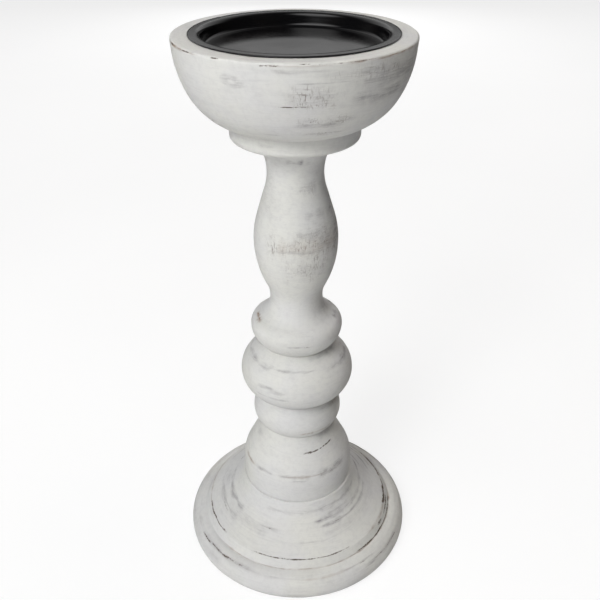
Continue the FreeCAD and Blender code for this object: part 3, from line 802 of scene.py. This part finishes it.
def make_stem(material):
    # not shown: the tenons and the pilot holes
    stem = Turning(
        "stem", columns=136, step=0.48, tight=0.26, spread=0.34, seed=12,
        shown=lambda r, z: r > 12.9,
    )
    stem.uneven(amount=0.06)
    stem.dents(count=90, size=0.6, depth=0.12)
    marks = [
        # bell
        ("dark", -74, -42, 24.0, 74.4, 0.52, 1.15, 0.25, 1.3, 7),
        ("bare", -160, -148, 30.8, 61.3, 1.0, 1.0, 0.0),
        ("smear", -135, -120, 30.8, 61.2, 0.7, 0.9, 0.0),
        ("smear", -105, -44, 30.7, 61.5, 1.2, 0.5, 0.0),
        ("bare", -98, -66, 30.8, 61.4, 0.45, 0.7, 0.08),
        ("smear", -60, -34, 30.7, 62.2, 1.8, 1.1, 0.0),
        ("pores", -62, -40, 30.8, 61.3, 1.3, 0.8, 0.0),
        ("smear", -92, -82, 31.3, 59.0, 0.5, 0.9, 0.10, 0, 2),
        ("smear", -163, -158, 23.2, 75.6, 1.8, 0.9, 0.0),
        # low bead
        ("smear", -128, -110, 23.6, 86.6, 0.6, 0.8, 0.0),
        ("bare", -80, -46, 24.0, 88.0, 0.8, 0.9, 0.0),
        # middle bead
        ("smear", -188, -150, 25.3, 131.8, 1.1, 0.85, 0.0),
        ("smear", -140, -128, 25.8, 131.3, 0.8, 0.6, 0.0),
        ("smear", -110, -70, 24.5, 131.8, 0.5, 0.85, 0.08, 0, 7),
        ("smear", -134, -124, 24.3, 131.9, 0.6, 0.6, 0.0),
        ("smear", -46, 0, 26.2, 130.6, 1.5, 0.85, 0.0),
        ("dark", -30, -14, 26.6, 130.2, 0.4, 0.35, 0.0),
        # painted shade: the creases under the high, middle and low beads, darkened on the right
        # where they lie in shade
        ("smear", -66, -6, 20.3, 136.3, 1.5, 0.4, 0.0),
        ("smear", -50, 0, 22.2, 100.6, 1.4, 0.45, 0.0),
        ("smear", -50, -10, 20.4, 79.6, 1.6, 0.4, 0.0),
        ("bare", -30, 4, 22.6, 100.0, 1.2, 0.5, 0.0),
        ("smear", -128, -104, 30.9, 117.2, 0.5, 1.0, 0.10),
        ("smear", -128, -118, 30.6, 122.9, 0.8, 0.6, 0.0),
        ("smear", -114, -106, 30.9, 121.4, 0.8, 0.55, 0.0),
        # high bead
        ("bare", -174, -158, 21.0, 154.35, 0.95, 1.6, 0.12, 0, 4),
        ("smear", -98, -72, 24.6, 147.7, 0.4, 0.9, 0.05),
        ("dark", -92, -88, 24.6, 147.7, 0.25, 0.6, 0.05, 0, 2),
        ("dark", -80, -75, 24.6, 147.8, 0.25, 0.6, 0.05, 0, 2),
        # painted shadow: the neck's shade on the right of the waist's cove, above the high bead
        ("smear", -50, -8, 15.2, 160.8, 3.0, 0.5, 0.0),
        ("smear", -12, 2, 21.0, 154.4, 1.4, 1.2, 0.0, 0, 3),
        # vase and neck
        ("smear", -52, -10, 20.8, 206.0, 7.0, 0.8, 0.0),
        ("smear", -86, -56, 20.4, 209.5, 2.2, 0.5, 0.0),
        ("smear", -114, -56, 21.5, 201.3, 0.7, 0.55, 0.0),
        ("bare", -110, -30, 21.3, 203.6, 3.6, 0.36, 0.0),
        ("pores", -122, -20, 21.3, 203.4, 4.6, 1.1, 0.0, 0, 8),
        ("pores", -62, -18, 21.3, 201.5, 9.0, 1.1, 0.0, 0, 8),
        ("pores", -84, -44, 20.4, 209.6, 3.2, 0.8, 0.0),
        ("pores", -104, -54, 21.0, 190.5, 5.0, 0.7, 0.0),
        ("smear", -90, -50, 21.0, 190.5, 3.0, 0.4, 0.0),
        ("smear", -83, -80, 15.8, 245.2, 0.8, 1.4, 0.05, 0, 4),
        ("smear", -100, -68, 15.8, 245.0, 1.0, 0.5, 0.0),
        ("smear", -80, -50, 14.3, 232.0, 3.2, 0.5, 0.0),
        ("pores", -80, -56, 14.4, 231.0, 3.0, 0.5, 0.0),
        ("smear", -70, -20, 17.8, 218.5, 1.6, 0.6, 0.0),
        # collar
        ("smear", -118, -112, 31.1, 257.9, 0.6, 0.4, 0.0),
        # behind
        ("dark", 62, 98, 24.4, 74.0, 0.5, 0.9, 0.2),
        ("smear", 40, 120, 30.6, 61.8, 1.2, 0.8, 0.0),
        ("pores", 60, 170, 21.4, 202.0, 5.0, 1.1, 0.0),
        ("smear", 90, 150, 21.0, 208.0, 3.0, 0.5, 0.0),
        ("smear", 20, 80, 30.9, 122.0, 1.0, 0.7, 0.0),
    ]
    for mark in marks:
        stem.mark(*mark)
    stem.wear_behind([
        (31.8, 50.0), (30.8, 61.3), (24.0, 74.4), (24.4, 88.0), (30.9, 116.0), (30.0, 124.5),
        (24.6, 147.7), (21.0, 154.4), (16.5, 177.0), (20.4, 190.0), (21.4, 203.0), (19.6, 213.0),
        (16.5, 223.0), (14.6, 236.0), (15.8, 245.0), (31.1, 257.5),
    ])
    stem.build(material, offset=1000.0)


def make_bowl(material):
    # not shown: the recess's floor, the socket and the seat on the collar
    bowl = Turning(
        "bowl", columns=360, step=0.44, tight=0.24, spread=0.34, seed=13,
        shown=lambda r, z: ((r > 42) & (z > 262)) | ((r > 32) & (z < 263)) | (z > 299),
    )
    bowl.uneven(amount=0.07)
    bowl.dents(count=90, size=0.7, depth=0.14)
    edge = bowl.edge_distance(lambda r, z: r > 52 and z > 298)
    bowl.wear_edge(edge, reach=0.45, depth=0.35, amount=0.1, around=26, spare=(-175, -15))
    bowl.knot(angle=-117, radius=53.9, height=291.4, size=1.8, strength=0.75)
    marks = [
        # chips and bare wood along the rim
        ("dark", -165, -160, 54.7, 299.4, 0.45, 1.1, 0.35, 0, 3),
        ("bare", -160, -141, 54.7, 299.3, 0.35, 1.2, 0.08),
        ("dark", -145, -142, 54.7, 299.3, 0.45, 1.1, 0.30, 0, 2),
        ("dark", -125, -124, 54.6, 299.6, 0.35, 0.9, 0.15, 0, 1.5),
        ("dark", -103, -101, 54.8, 298.8, 0.4, 0.6, 0.12, 0, 1.5),
        ("dark", -100, -97.5, 54.8, 298.9, 0.45, 0.9, 0.20, 0, 1.5),
        ("bare", -96, -80, 54.8, 299.0, 0.3, 0.8, 0.0),
        ("dark", -86.5, -84, 54.6, 299.7, 0.3, 0.9, 0.10, 0, 1.5),
        ("dark", -79, -77, 54.7, 299.4, 0.3, 0.8, 0.10, 0, 1.5),
        ("dark", -73, -71, 54.7, 299.4, 0.35, 0.9, 0.12, 0, 1.5),
        ("bare", -66, -28, 54.7, 299.5, 0.32, 1.1, 0.05),
        ("dark", -62, -57, 54.7, 299.5, 0.25, 0.6, 0.05),
        # scratches and the brown line under them
        ("pores", -87, -75, 53.0, 286.4, 3.2, 1.1, 0.0),
        ("pores", -86, -76, 51.9, 283.2, 1.8, 1.4, 0.0),
        ("smear", -90, -76, 52.9, 286.2, 3.0, 0.45, 0.0),
        ("dark", -96, -86, 51.7, 282.3, 0.26, 0.8, 0.10, 0, 3),
        ("smear", -84, -70, 54.0, 291.9, 0.45, 0.8, 0.0),
        ("smear", -94, -80, 54.5, 296.5, 0.5, 0.7, 0.0),
        # smudges low on the front
        ("pores", -82, -66, 48.4, 274.9, 2.4, 1.1, 0.0),
        ("smear", -83, -72, 47.5, 273.2, 1.2, 1.1, 0.0),
        ("smear", -80, -64, 48.8, 275.5, 2.0, 0.4, 0.0),
        ("pores", -80, -68, 43.6, 268.4, 1.0, 1.2, 0.0),
        ("smear", -80, -66, 43.4, 268.2, 0.6, 0.9, 0.0),
        ("smear", -104, -100, 42.9, 267.6, 0.6, 0.8, 0.0, 0, 2),
        # the broad grey streaks on the right
        ("smear", -62, -18, 53.9, 291.0, 4.8, 0.85, 0.0),
        ("smear", -58, -26, 52.3, 284.0, 3.0, 0.9, 0.0),
        ("smear", -72, -40, 54.3, 294.6, 1.6, 0.45, 0.0),
        ("pores", -68, -42, 54.2, 294.0, 2.6, 0.8, 0.0),
        # behind
        ("smear", 40, 110, 53.4, 288.4, 3.0, 0.7, 0.0),
        ("dark", 76, 92, 51.0, 280.2, 0.35, 0.85, 0.15),
        ("smear", 130, 165, 53.9, 291.0, 2.2, 0.6, 0.0),
    ]
    for mark in marks:
        bowl.mark(*mark)
    bowl.wear_behind([
        (54.7, 299.4), (54.5, 296.0), (54.0, 291.5), (52.9, 286.4), (51.4, 281.5),
        (48.4, 274.9), (43.6, 268.4), (50.0, 300.0),
    ])
    bowl.build(material, offset=2000.0)


def make_pan(material):
    # the middle of its floor is flat and needs few rows
    pan = Turning(
        "candle_pan", columns=320, step=0.7, tight=0.2, spread=0.12, seed=14,
        shown=lambda r, z: r > 20,
    )
    press_waves = 0.015
    pan.lift += pan.shown * press_waves * (pan.noise(cell=9, around=12) - 0.5)
    pan.build(material, offset=0.0)


def make_plug(material):
    # only its lower face can be seen, from below
    plug = Turning(
        "base_plug", columns=96, step=0.8, tight=0.2, spread=0.12, seed=15,
        shown=lambda r, z: z < 1.6,
    )
    plug.uneven(amount=0.03)
    plug.build(material, offset=3000.0)


def make_felt_pad(node, material, seed):
    """A cut disc of felt with softened, slightly ragged edges."""
    low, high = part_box(node)
    centre = (low + high) / 2
    thick = high.z - low.z
    size = (high.x - low.x) / 2
    rng = np.random.default_rng(seed)
    columns = 96
    angle = np.arange(columns) * TAU / columns
    # shares of the pad's radius and thickness, from the middle of its underside to its rim
    lower = [
        (0.0, 0.0), (0.35, 0.0), (0.7, 0.0), (0.9, 0.0),
        (0.965, 0.03), (0.99, 0.14), (1.0, 0.32),
    ]
    outline = lower + [(1.0, 0.5)] + [(r, 1 - z) for r, z in reversed(lower)]
    rows = len(outline)
    raggedness = 0.022
    on_rim = np.interp(np.arange(rows), [3, 5, 9, 11], [0, 1, 1, 0])
    ragged = rng.uniform(0, 1, (rows, columns)) * raggedness * on_rim[:, None]
    radius = np.array([r for r, _ in outline])[:, None] * size * (1 - ragged)
    height = np.broadcast_to(np.array([z for _, z in outline])[:, None] * thick, radius.shape)
    points = np.stack([
        centre.x + radius * np.cos(angle),
        centre.y + radius * np.sin(angle),
        low.z + height,
    ], 2).reshape(-1, 3)
    mesh = bpy.data.meshes.new(node + "_felt")
    index = np.arange(rows * columns).reshape(rows, columns)
    ring = np.roll(index, -1, axis=1)
    quads = np.stack([index[:-1], ring[:-1], ring[1:], index[1:]], 2).reshape(-1, 4).tolist()
    mesh.from_pydata(points.tolist(), [], quads)
    shape = bmesh.new()
    shape.from_mesh(mesh)
    bmesh.ops.remove_doubles(shape, verts=shape.verts, dist=SNAP)
    shape.to_mesh(mesh)
    shape.free()
    add_piece(node + "_soft", mesh, material, node)


def finish_hardware(material):
    """Gives the CAD screws and the washer their finish."""
    for node in ("bowl_screw", "base_screw", "base_washer"):
        metal = frame["nodes"][node]
        metal.data.materials.clear()
        metal.data.materials.append(material)


# ---------------------------------------------------------------- surroundings

def flat_sheet(name, height, material):
    """A level square sheet, wide enough to fill every view."""
    half = 5.0
    mesh = bpy.data.meshes.new(name)
    corners = [(x * half, y * half, height) for x, y in ((-1, -1), (1, -1), (1, 1), (-1, 1))]
    mesh.from_pydata(corners, [], [(0, 1, 2, 3)])
    mesh.materials.append(material)
    sheet = bpy.data.objects.new(name, mesh)
    bpy.context.scene.collection.objects.link(sheet)
    return sheet


def make_floor():
    """A pale table. A separate card just under it throws the soft light back up."""
    n = Surface("studio_table")
    colour = n.mix(n.step(n.noise(n.object, scale=3), 0.3, 0.7), *TABLE_TONES)
    normal = n.bump(n.noise(n.object, scale=500), 0.02 * MM)
    table = n.finish(colour, 0.8, normal, **{"Specular IOR Level": 0.1})
    n.shader.inputs["Emission Color"].default_value = (1, 1, 1, 1)
    n.shader.inputs["Emission Strength"].default_value = FLOOR_GLOW
    floor = flat_sheet("floor", 0.0, table)
    floor.visible_diffuse = False
    floor.visible_shadow = False
    floor.visible_glossy = False
    n = Surface("bounce_card")
    colour = n.mix(n.step(n.noise(n.object, scale=3), 0.3, 0.7), *CARD_TONES)
    normal = n.bump(n.noise(n.object, scale=90), 0.02 * MM)
    card = flat_sheet("bounce_card", -2 * MM, n.finish(colour, 0.9, normal))
    card.visible_camera = False
    card.visible_glossy = False


def soft_light(turn, lift, power, tint):
    """A round soft box, brightest in its middle, aimed at the piece."""
    a, e = math.radians(turn), math.radians(lift)
    way = Vector((math.sin(a) * math.cos(e), -math.cos(a) * math.cos(e), math.sin(e)))
    data = bpy.data.lights.new("soft_box", "AREA")
    data.shape = "DISK"
    data.size = BOX_WIDTH
    data.energy = power
    data.color = tint
    data.use_nodes = True
    n = Nodes(data.node_tree)
    spot = n.source("ShaderNodeNewGeometry", "Parametric")
    away = n.vector("DISTANCE", spot, (0.5, 0.5, 0.0))
    n.put(n.tree.nodes["Emission"].inputs["Strength"], n.step(away, *BOX_FADE, BOX_PEAK, 0.0))
    lamp = bpy.data.objects.new("soft_box", data)
    lamp.location = Vector(BOX_AIM) + way * BOX_DISTANCE
    lamp.rotation_euler = (-way).to_track_quat("-Z", "Y").to_euler()
    lamp.visible_glossy = False
    lamp.visible_camera = False
    bpy.context.scene.collection.objects.link(lamp)


def make_light():
    """The soft boxes, and a room that is dim as light, pale as a backdrop.

    Polished faces reflect a wall behind that is pale above its foot, and one soft box.
    """
    world = bpy.data.worlds.new("studio")
    bpy.context.scene.world = world
    world.use_nodes = True
    n = Nodes(world.node_tree)
    sky = n.tree.nodes["Background"]
    sky.inputs["Color"].default_value = (1.0, 1.0, 1.0, 1.0)
    ray = n.tree.nodes.new("ShaderNodeLightPath").outputs
    room = n.step(ray["Is Camera Ray"], 0.0, 1.0, ROOM_LIGHT, ROOM_SEEN)
    way = n.source("ShaderNodeTexCoord", "Generated")
    split = n.tree.nodes.new("ShaderNodeSeparateXYZ")
    n.put(split.inputs[0], way)
    foot, top = (math.sin(math.radians(angle)) for angle in WALL_FOOT)
    wall = n.step(split.outputs["Z"], foot, top, 0.0, WALL_GLOSS)
    behind = n.step(split.outputs["Y"], 0.0, WALL_BACK)
    rim, core = (math.cos(math.radians(angle)) for angle in GLINT_EDGE)
    glint = n.step(n.vector("DOT_PRODUCT", way, GLINT_WAY), rim, core, 0.0, GLINT)
    seen = n.math("MULTIPLY_ADD", wall, behind, glint)
    n.put(sky.inputs["Strength"], n.math("MULTIPLY_ADD", seen, ray["Is Glossy Ray"], room))
    for box in SOFT_BOXES:
        soft_light(*box)


def make_camera():
    data = bpy.data.cameras.new("camera")
    data.sensor_width = CAMERA_SENSOR
    data.lens = CAMERA_LENS
    data.shift_x = CAMERA_SHIFT
    data.clip_start = 0.01
    camera = bpy.data.objects.new("camera", data)
    tilt = Matrix.Rotation(math.radians(90 - CAMERA_DOWN), 4, "X")
    camera.matrix_world = Matrix.Translation(CAMERA_PLACE) @ tilt
    bpy.context.scene.collection.objects.link(camera)
    bpy.context.scene.camera = camera


wood = whitewash()
make_base(wood)
make_stem(wood)
make_bowl(wood)
make_plug(wood)
make_pan(black_enamel())
finish_hardware(zinc())
pad_felt = felt()
for number in range(1, 5):
    make_felt_pad(f"felt_pad_{number}", pad_felt, seed=30 + number)
make_floor()
make_light()
make_camera()
bpy.context.scene.view_settings.view_transform = "Standard"
